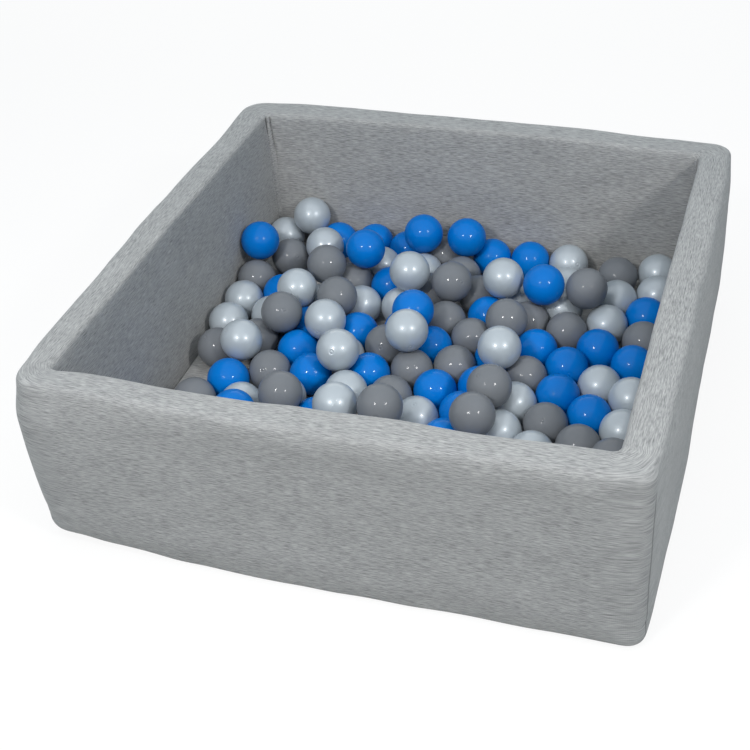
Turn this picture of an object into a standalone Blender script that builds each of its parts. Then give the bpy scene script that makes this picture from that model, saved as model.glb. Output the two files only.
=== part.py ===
"""Square foam ball pit: foam walls and floor in a sewn cover with a zip, and a bed of hollow play balls.

Metres, +Z up, +X along the front wall, +Y to the back. The origin is the middle of the underside.
"""

import math

import bmesh
import bpy
import numpy as np
from mathutils import Matrix, Vector

# Driving sizes of the pit
WIDTH = 0.900
DEPTH = 0.900
HEIGHT = 0.300
WALL_FOAM = 0.050
FLOOR_FOAM = 0.035
CLOTH = 0.0012
BALL_DIAMETER = 0.070

# Rounding of the padded edges, and how far the side cloth is turned under the base
RIM_ROUND = 0.015
BASE_ROUND = 0.022
CORNER_ROUND = 0.032
INNER_CORNER_ROUND = 0.003
HEM = 0.006

# Fits
CLEARANCE = 0.0003
BALL_GAP = 0.0005
BALL_WELD = 0.0013
CUT_OVERRUN = 0.004

# Zip along the foot of the back wall. Depths are counted inwards from that wall's outer face
ZIP_LENGTH = 0.700
ZIP_HEIGHT = 0.050
ZIP_TAPE = 0.0008
ZIP_TAPE_WIDTH = 0.007
ZIP_COIL = 0.0022
ZIP_COIL_WIDTH = 0.0018
ZIP_COIL_DEPTH = 0.0002
ZIP_STOP_LENGTH = 0.004
ZIP_STOP = 0.0034
SLIDER_LENGTH = 0.012
SLIDER_WIDTH = 0.011
SLIDER_PLATE = 0.0010
SLIDER_POST = 0.0006
SLIDER_RUNNING = 0.0004
BRIDGE_LENGTH = 0.008
BRIDGE_WIDTH = 0.002
BRIDGE_WALL = 0.0012
BRIDGE_WINDOW = 0.0026
TAB_LENGTH = 0.024
TAB_WIDTH = 0.007
TAB_THICKNESS = 0.0012
TAB_BAR = 0.0014
TAB_EYE = 0.0046
TAB_ROUND = 0.002

# The picture in ball diameters: the pit's inner plan, the gap between balls, and the eye's place over
# the middle of the floor
PICTURE_PLAN_SHARE = 11.34
PICTURE_GAP_SHARE = 0.007
EYE_SHARES = (7.957, -22.969, 18.517)
VIEW_TURN = math.radians(-21.26)
VIEW_TILT = math.radians(-36.78)
VIEW_ROLL = math.radians(-4.96)
PICTURE_FOCUS_PIXELS = 1287
PICTURE_MIDDLE_PIXELS = 375

# Balls that the view shows: colour, picture point across and down, and storey of the bed
SEEN_PIXELS = (
    ("pearl", 312, 212, 1.0),
    ("blue", 259, 240, 1.0),
    ("pearl", 287, 235, 0.0),
    ("pearl", 325, 241, 1.0),
    ("blue", 338, 238, 0.0),
    ("grey", 291, 257, 0.0),
    ("grey", 329, 264, 1.0),
    ("blue", 363, 249, 1.0),
    ("blue", 376, 240, 0.0),
    ("blue", 407, 245, 0.0),
    ("blue", 425, 235, 1.0),
    ("grey", 257, 277, 0.0),
    ("pearl", 245, 299, 0.0),
    ("blue", 282, 294, 0.0),
    ("pearl", 300, 287, 1.0),
    ("grey", 339, 293, 1.0),
    ("grey", 356, 283, 0.0),
    ("pearl", 382, 265, 0.0),
    ("pearl", 408, 272, 1.0),
    ("blue", 389, 289, 0.0),
    ("pearl", 424, 271, 0.0),
    ("grey", 283, 311, 1.0),
    ("pearl", 271, 316, 0.0),
    ("pearl", 325, 315, 1.0),
    ("pearl", 365, 307, 0.0),
    ("blue", 412, 310, 0.9),
    ("pearl", 401, 310, 0.0),
    ("pearl", 407, 327, 1.3),
    ("pearl", 229, 323, 0.0),
    ("pearl", 241, 340, 1.0),
    ("grey", 214, 350, 0.0),
    ("grey", 260, 338, 0.0),
    ("blue", 299, 350, 0.0),
    ("blue", 307, 330, 0.0),
    ("blue", 357, 329, 0.0),
    ("pearl", 339, 347, 1.0),
    ("blue", 310, 371, 0.0),
    ("grey", 268, 369, 0.0),
    ("grey", 282, 393, 1.0),
    ("blue", 229, 380, 0.0),
    ("grey", 196, 396, 0.0),
    ("blue", 232, 409, 0.9),
    ("pearl", 243, 404, 0.0),
    ("pearl", 332, 401, 1.0),
    ("pearl", 345, 387, 0.0),
    ("grey", 386, 343, 0.0),
    ("blue", 371, 368, 0.0),
    ("grey", 413, 366, 0.0),
    ("blue", 433, 343, 0.0),
    ("grey", 395, 391, 0.0),
    ("grey", 381, 406, 1.0),
    ("blue", 437, 389, 0.0),
    ("pearl", 416, 414, 0.0),
    ("blue", 465, 237, 1.0),
    ("blue", 491, 254, 0.0),
    ("blue", 529, 259, 0.0),
    ("pearl", 573, 264, 0.0),
    ("grey", 620, 276, 0.0),
    ("pearl", 657, 270, 0.0),
    ("pearl", 656, 295, 0.0),
    ("grey", 450, 281, 1.0),
    ("grey", 463, 275, 0.0),
    ("grey", 446, 256, 0.0),
    ("pearl", 501, 279, 1.0),
    ("blue", 545, 284, 1.0),
    ("pearl", 518, 301, 0.0),
    ("grey", 588, 290, 1.0),
    ("grey", 478, 298, 0.0),
    ("grey", 430, 298, 0.0),
    ("pearl", 567, 285, 0.0),
    ("pearl", 562, 311, 0.0),
    ("pearl", 618, 300, 0.0),
    ("blue", 646, 316, 0.0),
    ("grey", 643, 341, 0.0),
    ("blue", 486, 316, 0.0),
    ("grey", 505, 320, 1.0),
    ("grey", 530, 323, 0.0),
    ("grey", 450, 318, 0.0),
    ("grey", 470, 338, 0.0),
    ("grey", 565, 334, 0.0),
    ("pearl", 606, 326, 0.0),
    ("pearl", 498, 348, 1.0),
    ("blue", 539, 351, 0.0),
    ("blue", 596, 348, 0.0),
    ("grey", 455, 365, 0.0),
    ("blue", 565, 368, 0.0),
    ("blue", 632, 362, 0.0),
    ("grey", 527, 377, 0.0),
    ("pearl", 597, 382, 0.0),
    ("blue", 473, 384, 0.0),
    ("grey", 489, 385, 1.0),
    ("pearl", 625, 395, 0.0),
    ("pearl", 518, 401, 0.0),
    ("blue", 557, 397, 0.0),
    ("blue", 458, 412, 0.0),
    ("grey", 472, 411, 1.0),
    ("blue", 587, 414, 0.0),
    ("grey", 543, 424, 0.0),
    ("pearl", 618, 426, 0.0),
    ("pearl", 503, 428, 0.0),
    ("blue", 441, 435, 0.0),
    ("pearl", 531, 449, 0.0),
    ("grey", 575, 442, 0.0),
    ("grey", 609, 455, 0.0),
)

# Balls behind the front wall and under others, in shares of the inner width and depth
UNSEEN_SHARES = (
    ("blue", 0.30, 0.06),
    ("pearl", 0.40, 0.06),
    ("grey", 0.50, 0.06),
    ("blue", 0.60, 0.06),
    ("pearl", 0.70, 0.06),
    ("grey", 0.80, 0.06),
    ("pearl", 0.91, 0.06),
    ("grey", 0.25, 0.14),
    ("blue", 0.35, 0.14),
    ("grey", 0.45, 0.14),
    ("pearl", 0.55, 0.14),
    ("grey", 0.65, 0.14),
    ("blue", 0.75, 0.14),
    ("pearl", 0.86, 0.14),
    ("grey", 0.95, 0.15),
    ("pearl", 0.30, 0.22),
    ("grey", 0.40, 0.22),
    ("blue", 0.50, 0.22),
    ("grey", 0.60, 0.22),
    ("pearl", 0.70, 0.22),
    ("blue", 0.80, 0.22),
    ("grey", 0.91, 0.23),
    ("blue", 0.05, 0.19),
    ("grey", 0.14, 0.21),
    ("pearl", 0.09, 0.11),
    ("grey", 0.17, 0.12),
    ("pearl", 0.22, 0.05),
    ("blue", 0.12, 0.04),
    ("grey", 0.66, 0.56),
    ("blue", 0.44, 0.64),
    ("pearl", 0.39, 0.30),
    ("grey", 0.53, 0.28),
    ("grey", 0.27, 0.34),
    ("blue", 0.26, 0.70),
    ("grey", 0.35, 0.50),
)

STOREY_RISE_SHARE = 0.85
CEILING_SHARE = 0.90
CLUSTERS = 15
CLUSTER_MOST = 12

# How the balls are let down: steps, pushes in each, and shares of the diameter, the way back and the gap
SETTLE_STEPS = 340
SETTLE_PUSHES = 9
SETTLE_FALL_SHARE = 0.008
SIGHT_PULL_SHARE = 0.35
PUSH_SHARE = 1.5
NEAR_SHARE = 1.35
REST_STEPS = 500
REST_FALL_SHARE = 0.0003
PART_MOST_STEPS = 3000
PART_ERROR_SHARE = 0.2

# Counts that set how finely the round stretches are drawn, and shares that set how round they are
ROUND_SEGMENTS = 4
CORNER_SEGMENTS = 3
BALL_SEGMENTS = 2
ROUND_PROFILE_SHARE = 0.5
COIL_ROUND_SHARE = 0.33

# Worked out from the sizes above
SKIN = CLOTH + CLEARANCE
WALL = WALL_FOAM + 2 * SKIN
FLOOR_CLOTH_BOTTOM = SKIN + FLOOR_FOAM + CLEARANCE
FLOOR_TOP = FLOOR_CLOTH_BOTTOM + CLOTH
INNER_WIDTH = WIDTH - 2 * WALL
INNER_DEPTH = DEPTH - 2 * WALL
BALL_RADIUS = BALL_DIAMETER / 2
BACK_FACE = DEPTH / 2
ZIP_CHAIN_WIDTH = 2 * (ZIP_COIL_WIDTH + SLIDER_RUNNING) + SLIDER_POST
ZIP_OPENING = ZIP_CHAIN_WIDTH + 2 * ZIP_TAPE_WIDTH + 4 * CLEARANCE
SLIDER_OUTER_DEPTH = ZIP_COIL_DEPTH - ZIP_COIL / 2 - SLIDER_RUNNING - SLIDER_PLATE
SLIDER_INNER_DEPTH = ZIP_COIL_DEPTH + ZIP_COIL / 2 + SLIDER_RUNNING + SLIDER_PLATE
SLIDER_REST = ZIP_LENGTH / 2 - ZIP_STOP_LENGTH - SLIDER_LENGTH / 2 - 2 * CLEARANCE
BRIDGE_REACH = CLEARANCE + BRIDGE_WINDOW + BRIDGE_WALL
TAB_PIVOT_DEPTH = SLIDER_OUTER_DEPTH - CLEARANCE - BRIDGE_WINDOW / 2

# Each wall's turn in degrees, half its length, and how far its outer face stands from the middle
SIDES = {
    "front": (0, WIDTH / 2, DEPTH / 2),
    "right": (90, DEPTH / 2, WIDTH / 2),
    "back": (180, WIDTH / 2, DEPTH / 2),
    "left": (270, DEPTH / 2, WIDTH / 2),
}

COLOURS = {
    "cover": ((0.50, 0.52, 0.53), 0.90),
    "foam": ((0.86, 0.84, 0.76), 0.95),
    "zip": ((0.42, 0.44, 0.45), 0.70),
    "zip_metal": ((0.60, 0.61, 0.62), 0.35),
    "blue": ((0.0, 0.19, 0.68), 0.22),
    "grey": ((0.24, 0.23, 0.22), 0.25),
    "pearl": ((0.74, 0.77, 0.78), 0.20),
}


# Scene

def clear_scene():
    for old in list(bpy.data.objects):
        bpy.data.objects.remove(old, do_unlink=True)


def make_collection(name):
    collection = bpy.data.collections.new(name)
    bpy.context.scene.collection.children.link(collection)
    return collection


def make_material(name):
    colour, roughness = COLOURS[name]
    material = bpy.data.materials.new(name)
    material.use_nodes = True
    shader = material.node_tree.nodes["Principled BSDF"]
    shader.inputs["Base Color"].default_value = (*colour, 1)
    shader.inputs["Roughness"].default_value = roughness
    shader.inputs["Metallic"].default_value = 1 if name == "zip_metal" else 0
    return material


def add_object(name, shape, collection, material=None):
    """An object from a bmesh, which is freed."""
    mesh = bpy.data.meshes.new(name)
    shape.to_mesh(mesh)
    shape.free()
    if material:
        mesh.materials.append(material)
    made = bpy.data.objects.new(name, mesh)
    collection.objects.link(made)
    return made


def add_block(name, size, middle, collection, material=None, corner=0, along=2):
    """A box whose edges along one axis are rounded."""
    shape = bmesh.new()
    bmesh.ops.create_cube(shape, size=1, matrix=Matrix.Diagonal((*size, 1)))
    if corner:
        edges = [e for e in shape.edges if abs(e.verts[0].co[along] - e.verts[1].co[along]) > size[along] / 2]
        segments, profile = 2 * CORNER_SEGMENTS, ROUND_PROFILE_SHARE
        bmesh.ops.bevel(shape, geom=edges, offset=corner, segments=segments, profile=profile, affect="EDGES")
    made = add_object(name, shape, collection, material)
    made.location = middle
    return made


def add_cutter(name, size, middle, collection):
    made = add_block(name, size, middle, collection)
    made.hide_render = True
    made.display_type = "WIRE"
    return made


def add_boolean(made, other, operation):
    step = made.modifiers.new(other.name, "BOOLEAN")
    step.operation = operation
    step.object = other
    step.material_mode = "TRANSFER"


# Walls: a section in depth from the outer face and height, carried along each side

def quarter_turn(middle, radius, start, end):
    """Points of an arc in the section, from one angle in degrees to another."""
    angles = np.radians(np.linspace(start, end, ROUND_SEGMENTS + 1))
    return [(middle[0] + radius * math.cos(a), middle[1] + radius * math.sin(a)) for a in angles]


def wall_section(skin):
    """The line under the skin, from the underside up the outer face, over the rim and down the inner face."""
    rim_height = HEIGHT - RIM_ROUND
    foot = quarter_turn((BASE_ROUND, BASE_ROUND), BASE_ROUND - skin, 270, 180)
    outer_rim = quarter_turn((RIM_ROUND, rim_height), RIM_ROUND - skin, 180, 90)
    inner_rim = quarter_turn((WALL - RIM_ROUND, rim_height), RIM_ROUND - skin, 90, 0)
    return foot + outer_rim + inner_rim


def corner_at(depth):
    """Radius of the standing corner, from the outer face's to the inner face's."""
    return CORNER_ROUND + (INNER_CORNER_ROUND - CORNER_ROUND) * depth / WALL


def outline_at(depth, half_length, half_reach):
    """Points along a side at a depth from its outer face, from one mitre to the other."""
    corner = corner_at(depth)
    straight = half_length - depth - corner
    reach = half_reach - depth - corner
    angles = np.radians(np.linspace(45, 90, CORNER_SEGMENTS + 1))
    right = [(straight + corner * math.cos(a), -reach - corner * math.sin(a)) for a in angles]
    left = [(-x, y) for x, y in right]
    shorten = 1 - CLEARANCE / right[0][0]
    return [(x * shorten, y) for x, y in left + right[::-1]]


def make_wall(name, section, side, collection, material):
    """A solid with the closed section, mitred at both ends."""
    degrees, half_length, half_reach = SIDES[side]
    shape = bmesh.new()
    lines = [
        [shape.verts.new((x, y, height)) for x, y in outline_at(depth, half_length, half_reach)]
        for depth, height in section
    ]
    for lower, upper in zip(lines, lines[1:] + lines[:1]):
        for k in range(len(lower) - 1):
            shape.faces.new((lower[k], lower[k + 1], upper[k + 1], upper[k]))
    shape.faces.new([line[0] for line in lines])
    shape.faces.new([line[-1] for line in reversed(lines)])
    turn = Matrix.Rotation(math.radians(degrees), 4, "Z")
    bmesh.ops.transform(shape, matrix=turn, verts=shape.verts)
    return add_object(name, shape, collection, material)


def cover_section():
    """Both faces of the cloth, from the hem under the base to the edge at the floor."""
    outer = [(BASE_ROUND + HEM, 0), *wall_section(0), (WALL, FLOOR_CLOTH_BOTTOM)]
    inner = [(BASE_ROUND + HEM, CLOTH), *wall_section(CLOTH), (WALL - CLOTH, FLOOR_CLOTH_BOTTOM)]
    return outer + inner[::-1]


def make_sheet(name, inset, bottom, thickness, collection, material):
    """A flat piece across the pit, set in from the outer faces."""
    size = (WIDTH - 2 * inset, DEPTH - 2 * inset, thickness)
    middle = (0, 0, bottom + thickness / 2)
    return add_block(name, size, middle, collection, material, corner_at(inset))


def make_padding(collection, cutters, materials):
    foam_section = wall_section(SKIN) + [(WALL - SKIN, SKIN)]
    for side in SIDES:
        make_wall(f"foam_wall_{side}", foam_section, side, collection, materials["foam"])
        make_wall(f"cover_{side}", cover_section(), side, collection, materials["cover"])
    foam_inset = WALL - SKIN + CLEARANCE
    make_sheet("foam_floor", foam_inset, SKIN, FLOOR_FOAM, collection, materials["foam"])
    make_sheet("cover_floor", WALL + CLEARANCE, FLOOR_CLOTH_BOTTOM, CLOTH, collection, materials["cover"])
    make_sheet("cover_base", BASE_ROUND + HEM + CLEARANCE, 0, CLOTH, collection, materials["cover"])

    zip_middle = (0, BACK_FACE, ZIP_HEIGHT)
    opening = (ZIP_LENGTH + 2 * CLEARANCE, 2 * (SKIN + CUT_OVERRUN), ZIP_OPENING)
    slot = add_cutter("zip_slot", opening, zip_middle, cutters)
    add_boolean(bpy.data.objects["cover_back"], slot, "DIFFERENCE")
    room = SLIDER_WIDTH + 2 * SLIDER_RUNNING
    groove_size = (ZIP_LENGTH + 2 * CLEARANCE, 2 * (SLIDER_INNER_DEPTH + SLIDER_RUNNING), room)
    groove = add_cutter("zip_groove", groove_size, zip_middle, cutters)
    add_boolean(bpy.data.objects["foam_wall_back"], groove, "DIFFERENCE")


# Zip

def zip_place(across, depth, up):
    return Vector((across, BACK_FACE - depth, ZIP_HEIGHT + up))


def make_zip_rows(collection, materials):
    """The two tapes, the two coils between them, and the stops at the coils' ends."""
    stop_middle = (ZIP_LENGTH - ZIP_STOP_LENGTH) / 2
    coil_length = ZIP_LENGTH - 2 * (ZIP_STOP_LENGTH + CLEARANCE)
    tape_size = (ZIP_LENGTH, ZIP_TAPE, ZIP_TAPE_WIDTH)
    coil_size = (coil_length, ZIP_COIL, ZIP_COIL_WIDTH)
    stop_size = (ZIP_STOP_LENGTH, ZIP_STOP, ZIP_CHAIN_WIDTH)
    coil_up = (ZIP_CHAIN_WIDTH - ZIP_COIL_WIDTH) / 2
    tape_up = (ZIP_CHAIN_WIDTH + ZIP_TAPE_WIDTH) / 2 + CLEARANCE
    coil_round = ZIP_COIL_WIDTH * COIL_ROUND_SHARE
    for name, way in (("upper", 1), ("lower", -1)):
        tape_middle = zip_place(0, CLOTH / 2, way * tape_up)
        add_block(f"zip_tape_{name}", tape_size, tape_middle, collection, materials["zip"])
        coil_middle = zip_place(0, ZIP_COIL_DEPTH, way * coil_up)
        add_block(f"zip_coil_{name}", coil_size, coil_middle, collection, materials["zip"], coil_round, 0)
    for name, way in (("left", -1), ("right", 1)):
        place = zip_place(way * stop_middle, ZIP_COIL_DEPTH, 0)
        add_block(f"zip_stop_{name}", stop_size, place, collection, materials["zip_metal"], coil_round, 0)


def make_zip_slider(collection, cutters, materials):
    """Two plates and the post that runs between the coils, with a bridge for the pull tab."""
    body_depth = SLIDER_INNER_DEPTH - SLIDER_OUTER_DEPTH
    middle_depth = (SLIDER_INNER_DEPTH + SLIDER_OUTER_DEPTH) / 2
    body_size = (SLIDER_LENGTH, body_depth, SLIDER_WIDTH)
    place = zip_place(SLIDER_REST, middle_depth, 0)
    corner = 2 * SLIDER_PLATE
    slider = add_block("zip_slider", body_size, place, collection, materials["zip_metal"], corner, 1)

    through = SLIDER_LENGTH + 2 * CUT_OVERRUN
    channel = (through, ZIP_COIL + 2 * SLIDER_RUNNING, ZIP_CHAIN_WIDTH + 2 * SLIDER_RUNNING)
    slit = (through, ZIP_TAPE + 2 * SLIDER_RUNNING, SLIDER_WIDTH + 2 * CUT_OVERRUN)
    post = (SLIDER_LENGTH / 2, body_depth - SLIDER_PLATE, SLIDER_POST)
    bridge = (BRIDGE_LENGTH, BRIDGE_REACH + SLIDER_PLATE / 2, BRIDGE_WIDTH)
    bridge_depth = SLIDER_OUTER_DEPTH + (SLIDER_PLATE / 2 - BRIDGE_REACH) / 2
    window = (BRIDGE_LENGTH - 2 * BRIDGE_WALL, BRIDGE_WINDOW, BRIDGE_WIDTH + 2 * CUT_OVERRUN)
    for name, size, depth, operation in (
        ("slider_channel", channel, ZIP_COIL_DEPTH, "DIFFERENCE"),
        ("slider_slit", slit, CLOTH / 2, "DIFFERENCE"),
        ("slider_post", post, middle_depth, "UNION"),
        ("slider_bridge", bridge, bridge_depth, "UNION"),
        ("slider_window", window, TAB_PIVOT_DEPTH, "DIFFERENCE"),
    ):
        add_boolean(slider, add_cutter(name, size, zip_place(SLIDER_REST, depth, 0), cutters), operation)


def make_pull_tab(collection, cutters, materials):
    """A flat tab whose end bar turns inside the bridge. Its origin is on that bar."""
    pivot = zip_place(SLIDER_REST, TAB_PIVOT_DEPTH, 0)
    size = (TAB_LENGTH, TAB_THICKNESS, TAB_WIDTH)
    shape = bmesh.new()
    bmesh.ops.create_cube(shape, size=1, matrix=Matrix.Diagonal((*size, 1)))
    free_end = [
        e for e in shape.edges
        if e.verts[0].co.x < 0 and e.verts[1].co.x < 0 and abs(e.verts[0].co.y - e.verts[1].co.y) > 0
    ]
    segments, profile = ROUND_SEGMENTS, ROUND_PROFILE_SHARE
    bmesh.ops.bevel(shape, geom=free_end, offset=TAB_ROUND, segments=segments, profile=profile, affect="EDGES")
    bmesh.ops.translate(shape, vec=(TAB_BAR / 2 - TAB_LENGTH / 2, 0, 0), verts=shape.verts)
    tab = add_object("zip_pull_tab", shape, collection, materials["zip_metal"])
    tab.location = pivot
    eye_size = (TAB_EYE, TAB_THICKNESS + 2 * CUT_OVERRUN, BRIDGE_WIDTH + 2 * SLIDER_RUNNING)
    eye_middle = pivot - Vector((TAB_BAR / 2 + TAB_EYE / 2, 0, 0))
    add_boolean(tab, add_cutter("tab_eye", eye_size, eye_middle, cutters), "DIFFERENCE")


# Balls. Each is faceted alike on both sides of its middle and none is turned, so two of them
# touch where their middles lie twice a facet's reach apart

def ball_shape():
    """The faceted ball, with the volume of a round one."""
    shape = bmesh.new()
    bmesh.ops.create_icosphere(shape, subdivisions=BALL_SEGMENTS, radius=BALL_RADIUS)
    round_volume = 4 / 3 * math.pi * BALL_RADIUS ** 3
    swell = (round_volume / shape.calc_volume()) ** (1 / 3)
    bmesh.ops.scale(shape, vec=(swell, swell, swell), verts=shape.verts)
    shape.normal_update()
    return shape


def sight_lines(points):
    """Directions from the eye through picture points."""
    forward = np.array((
        math.sin(VIEW_TURN) * math.cos(VIEW_TILT),
        math.cos(VIEW_TURN) * math.cos(VIEW_TILT),
        math.sin(VIEW_TILT),
    ))
    level = np.array((math.cos(VIEW_TURN), -math.sin(VIEW_TURN), 0))
    above = np.cross(level, forward)
    right = math.cos(VIEW_ROLL) * level + math.sin(VIEW_ROLL) * above
    up = math.cos(VIEW_ROLL) * above - math.sin(VIEW_ROLL) * level
    offset = (np.array(points) - PICTURE_MIDDLE_PIXELS) / PICTURE_FOCUS_PIXELS
    return forward + offset[:, :1] * right - offset[:, 1:] * up


class BallBed:
    """All the balls, let down as the picture shows them and then between the pit's own walls."""

    def __init__(self):
        shape = ball_shape()
        self.reach = np.abs([v.co for v in shape.verts]).max(axis=0)
        self.facets = np.array([f.normal / f.normal.dot(f.calc_center_median()) for f in shape.faces])
        shape.free()
        self.eye = np.array(EYE_SHARES) * BALL_DIAMETER + (0, 0, FLOOR_TOP)
        self.lines = sight_lines([(across, down) for _, across, down, _ in SEEN_PIXELS])
        self.lines /= np.linalg.norm(self.lines, axis=1)[:, None]
        self.seen = len(SEEN_PIXELS)
        self.colours = [row[0] for row in SEEN_PIXELS + UNSEEN_SHARES]
        self.storeys = np.array([row[3] for row in SEEN_PIXELS] + [0] * len(UNSEEN_SHARES))
        self.bonds = set()
        plan = PICTURE_PLAN_SHARE * BALL_DIAMETER
        self.gap = PICTURE_GAP_SHARE * BALL_DIAMETER
        self.set_walls(plan, plan, self.gap)
        self.places = self.first_places(plan)
        self.settle()
        self.groups = self.join_lower_balls()
        self.gap = BALL_GAP
        self.set_walls(INNER_WIDTH, INNER_DEPTH, CLEARANCE)
        self.stretch(INNER_WIDTH / plan, INNER_DEPTH / plan)
        self.settle()

    def set_walls(self, width, depth, gap):
        """The least and the greatest place that a ball's middle can take."""
        self.low = np.array((-width / 2, -depth / 2, FLOOR_TOP)) + self.reach + gap
        self.high = np.array((-self.low[0], -self.low[1], HEIGHT * CEILING_SHARE))

    def stretch(self, across, along):
        """Spread the balls to another plan. In a smaller one every other ball starts higher."""
        for rows in (self.places, self.lines, self.eye):
            rows *= (across, along, 1)
        self.lines /= np.linalg.norm(self.lines, axis=1)[:, None]
        crowding = 1 - min(1, across * along)
        self.places[1::2, 2] += BALL_DIAMETER * math.sqrt(crowding * (2 - crowding))

    def first_places(self, plan):
        rise = self.storeys[:self.seen] * BALL_DIAMETER * STOREY_RISE_SHARE
        along = (self.low[2] + rise - self.eye[2]) / self.lines[:, 2]
        for axis in (0, 1):
            wall = np.sign(self.lines[:, axis]) * self.high[axis]
            along = np.minimum(along, (wall - self.eye[axis]) / self.lines[:, axis])
        seen = self.eye + self.lines * along[:, None]
        unseen = (np.array([row[1:] for row in UNSEEN_SHARES]) - 0.5) * plan
        unseen = np.column_stack((unseen, np.full(len(unseen), self.low[2])))
        return np.vstack((seen, unseen))

    def near_pairs(self):
        apart = np.linalg.norm(self.places[:, None] - self.places[None], axis=2)
        bonded = np.zeros_like(apart, bool)
        for pair in self.bonds:
            bonded[pair] = True
        first, second = np.nonzero(np.triu(apart < NEAR_SHARE * BALL_DIAMETER, 1) | bonded)
        return first, second, bonded[first, second]

    def push(self, pairs):
        """Move balls that overlap apart and joined ones together, and return the worst error."""
        first, second, bonded = pairs
        apart = self.places[first] - self.places[second]
        length = np.linalg.norm(apart, axis=1)
        way = apart / length[:, None]
        touching = 2 / (way @ self.facets.T).max(axis=1)
        lack = touching + np.where(bonded, -BALL_WELD, self.gap) - length
        lack = np.where(bonded, lack, np.maximum(lack, 0))
        move = way * (lack / 2)[:, None]
        total = np.zeros_like(self.places)
        np.add.at(total, first, move)
        np.add.at(total, second, -move)
        pushed = lack != 0
        count = np.bincount(first, pushed, len(total)) + np.bincount(second, pushed, len(total))
        self.places += total * (PUSH_SHARE / np.maximum(count, 1))[:, None]
        self.places = np.clip(self.places, self.low, self.high)
        return np.abs(lack).max()

    def settle(self):
        for step in range(SETTLE_STEPS):
            left = 1 - step / SETTLE_STEPS
            fall = BALL_DIAMETER * SETTLE_FALL_SHARE * left
            seen = self.places[:self.seen]
            seen -= self.lines * (fall / self.lines[:, 2])[:, None]
            along = ((seen - self.eye) * self.lines).sum(axis=1)[:, None]
            seen += (self.eye + self.lines * along - seen) * SIGHT_PULL_SHARE
            self.places[self.seen:, 2] -= fall
            pairs = self.near_pairs()
            for _ in range(SETTLE_PUSHES):
                self.push(pairs)
        for _ in range(REST_STEPS):
            self.places[:, 2] -= BALL_DIAMETER * REST_FALL_SHARE
            self.push(self.near_pairs())
        for _ in range(PART_MOST_STEPS):
            if self.push(self.near_pairs()) < PART_ERROR_SHARE * self.gap:
                break

    def join_lower_balls(self):
        """Groups of lower balls, grown from the closest pairs, with a bond for each join."""
        lower = [k for k, storey in enumerate(self.storeys) if storey < 1]
        group_of = {k: {k} for k in lower}
        apart = np.linalg.norm(self.places[:, None] - self.places[None], axis=2)
        pairs = sorted((apart[i, j], i, j) for i in lower for j in lower if i < j)
        count = len(lower)
        for most in (CLUSTER_MOST, len(lower)):
            for _, i, j in pairs:
                joined = group_of[i] | group_of[j]
                if count <= CLUSTERS or group_of[i] is group_of[j] or len(joined) > most:
                    continue
                self.bonds.add((i, j))
                count -= 1
                for k in joined:
                    group_of[k] = joined
        return sorted({tuple(sorted(group)) for group in group_of.values()})


def join_for_good(made, others):
    """Gives the object the shape of its union with the others, which are removed."""
    for other in others:
        add_boolean(made, other, "UNION")
    bpy.context.view_layer.update()
    graph = bpy.context.evaluated_depsgraph_get()
    joined = bpy.data.meshes.new_from_object(made.evaluated_get(graph))
    made.modifiers.clear()
    made.data = joined
    for other in others:
        bpy.data.objects.remove(other)


def make_balls(collection, materials):
    bed = BallBed()
    meshes = {}
    for colour in ("blue", "grey", "pearl"):
        shape = ball_shape()
        meshes[colour] = bpy.data.meshes.new(f"{colour}_ball")
        shape.to_mesh(meshes[colour])
        shape.free()
        meshes[colour].materials.append(materials[colour])
        meshes[colour].shade_smooth()

    def place_ball(name, k):
        made = bpy.data.objects.new(name, meshes[bed.colours[k]])
        made.location = bed.places[k]
        collection.objects.link(made)
        return made

    counts = dict.fromkeys(meshes, 0)
    for k, storey in enumerate(bed.storeys):
        if storey >= 1:
            counts[bed.colours[k]] += 1
            place_ball(f"{bed.colours[k]}_ball_{counts[bed.colours[k]]:02d}", k)
    for number, members in enumerate(bed.groups, 1):
        cluster = place_ball(f"ball_cluster_{number:02d}", members[0])
        join_for_good(cluster, [place_ball(f"joined_{k}", k) for k in members[1:]])


def main():
    clear_scene()
    parts = make_collection("ball_pit")
    cutters = make_collection("cutters")
    materials = {name: make_material(name) for name in COLOURS}
    make_padding(parts, cutters, materials)
    make_zip_rows(parts, materials)
    make_zip_slider(parts, cutters, materials)
    make_pull_tab(parts, cutters, materials)
    make_balls(parts, materials)


main()
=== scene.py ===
"""Square foam ball pit: its sewn cover, zip and play balls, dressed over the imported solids.

Metres, +Z up, +X along the front wall, +Y to the back. The origin is the middle of the underside.
"""

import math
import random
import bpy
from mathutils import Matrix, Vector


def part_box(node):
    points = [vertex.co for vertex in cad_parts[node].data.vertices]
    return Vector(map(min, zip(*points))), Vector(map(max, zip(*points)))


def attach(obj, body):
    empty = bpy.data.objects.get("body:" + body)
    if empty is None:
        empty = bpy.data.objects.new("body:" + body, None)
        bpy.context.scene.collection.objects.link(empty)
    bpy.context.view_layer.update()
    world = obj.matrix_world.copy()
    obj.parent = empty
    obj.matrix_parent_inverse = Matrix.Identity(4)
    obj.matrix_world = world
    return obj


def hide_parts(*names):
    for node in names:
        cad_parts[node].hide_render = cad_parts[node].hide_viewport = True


bl_info = {
    "name": "Foam Ball Pit",
    "version": (1, 0, 0),
    "blender": (4, 5, 0),
    "location": "View3D > Sidebar > Ball Pit",
    "description": "Makes the padded cover, the zip and the play balls of a square foam ball pit",
    "category": "Object",
}

from contextlib import contextmanager

import bmesh
import bpy
import numpy as np
from bpy.props import FloatProperty, FloatVectorProperty, IntProperty, PointerProperty
from bpy.types import Operator, Panel, PropertyGroup
from mathutils import Euler, Matrix, Vector, noise

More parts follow.
